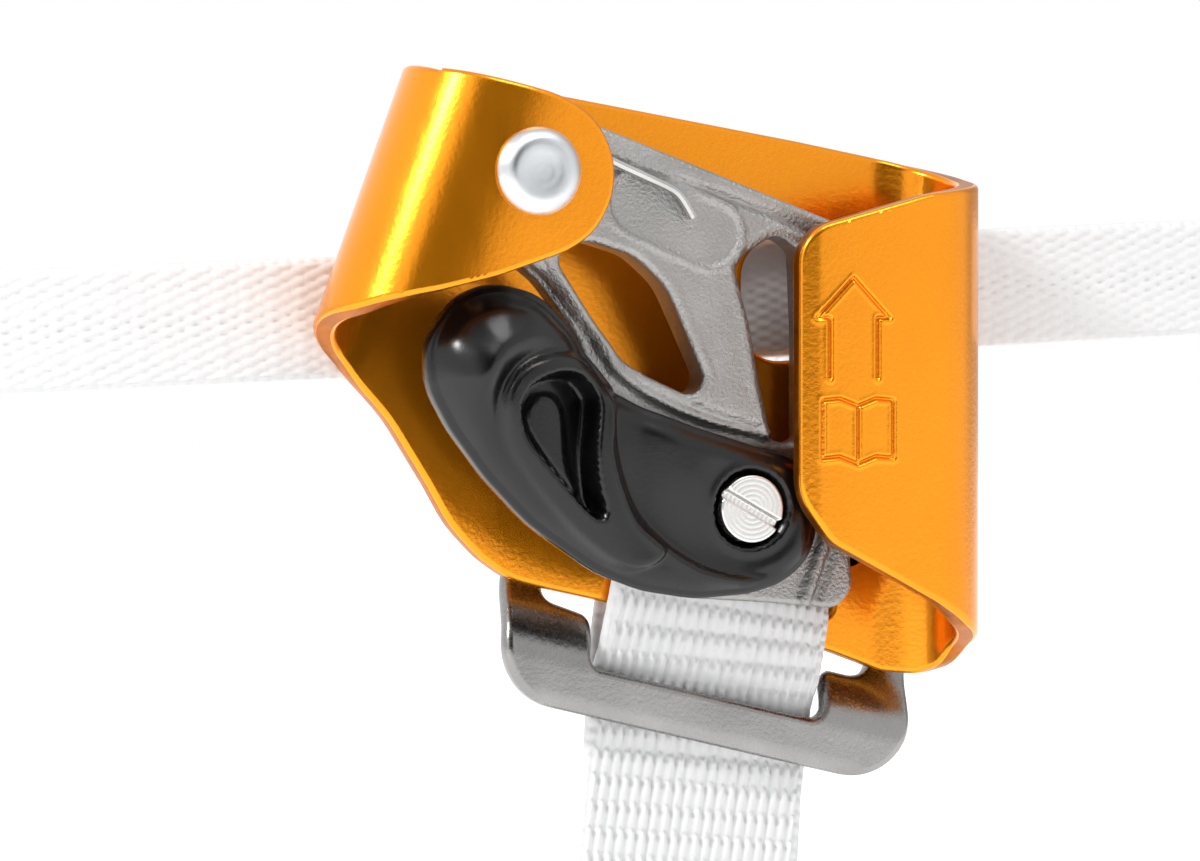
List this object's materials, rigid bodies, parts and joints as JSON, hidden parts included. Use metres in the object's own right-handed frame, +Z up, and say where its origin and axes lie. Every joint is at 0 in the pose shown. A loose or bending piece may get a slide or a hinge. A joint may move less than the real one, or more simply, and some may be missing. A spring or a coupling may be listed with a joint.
{
  "type": "foot ascender",
  "caption": "Foot ascender for climbing a rope: a bent plate frame with a toothed cam, a safety catch and ankle and foot straps.",
  "frame": {"origin": "on the rope's axis, in the middle of the channel's height", "axes": "+Z up along the rope, +X away from the cam towards the channel's bend, -Y out of the front, where the cam shows; +Y points at the climber's foot"},
  "size_m": [0.2589, 0.118, 0.1336],
  "materials": {
    "gold_sheet": "anodised, satin gloss",
    "cast_stainless": "sand blasted casting",
    "tumbled_stainless": "tumbled, semi gloss",
    "bright_steel": "turned, bright",
    "spring_steel": "drawn wire",
    "bronze": "sintered, matt",
    "black_plastic": "moulded, semi gloss",
    "white_webbing": "woven webbing",
    "thread": "bar-tacked thread"
  },
  "bodies": {
    "frame": {"frame_plate": "gold_sheet", "axle_rivet": "bright_steel", "axle_sleeve": "bright_steel", "axle_washer": "bright_steel", "strap_bracket": "tumbled_stainless", "bracket_rivets": "bright_steel", "foot_strap": "white_webbing", "foot_strap_anchor_stitching": "thread", "foot_strap_loop_stitching": "thread", "ankle_strap": "white_webbing", "ankle_strap_stitching": "thread", "ankle_strap_keeper": "black_plastic", "ankle_clamp_plate": "tumbled_stainless", "ankle_clamp_rivets": "bright_steel", "buckle_frame": "tumbled_stainless"},
    "cam": {"cam": "cast_stainless", "cam_bush": "bronze", "cam_spring": "spring_steel", "catch_bush": "bronze", "catch_screw": "bright_steel", "catch_sleeve_nut": "bright_steel", "catch_washer": "bright_steel"},
    "catch": {"catch": "black_plastic"}
  },
  "joints": [
    {"name": "cam_pivot", "type": "hinge", "parent": "frame", "child": "cam", "pos_m": [-0.053, 0, 0.0314], "axis": [0, 1, 0], "range_deg": [0, 16], "stiffness_Nm_per_rad": 0.06, "springref_deg": -68.75},
    {"name": "catch_pivot", "type": "hinge", "parent": "cam", "child": "catch", "pos_m": [-0.0223, 0, -0.0094], "axis": [0, 1, 0], "range_deg": [-25, 0]}
  ]
}
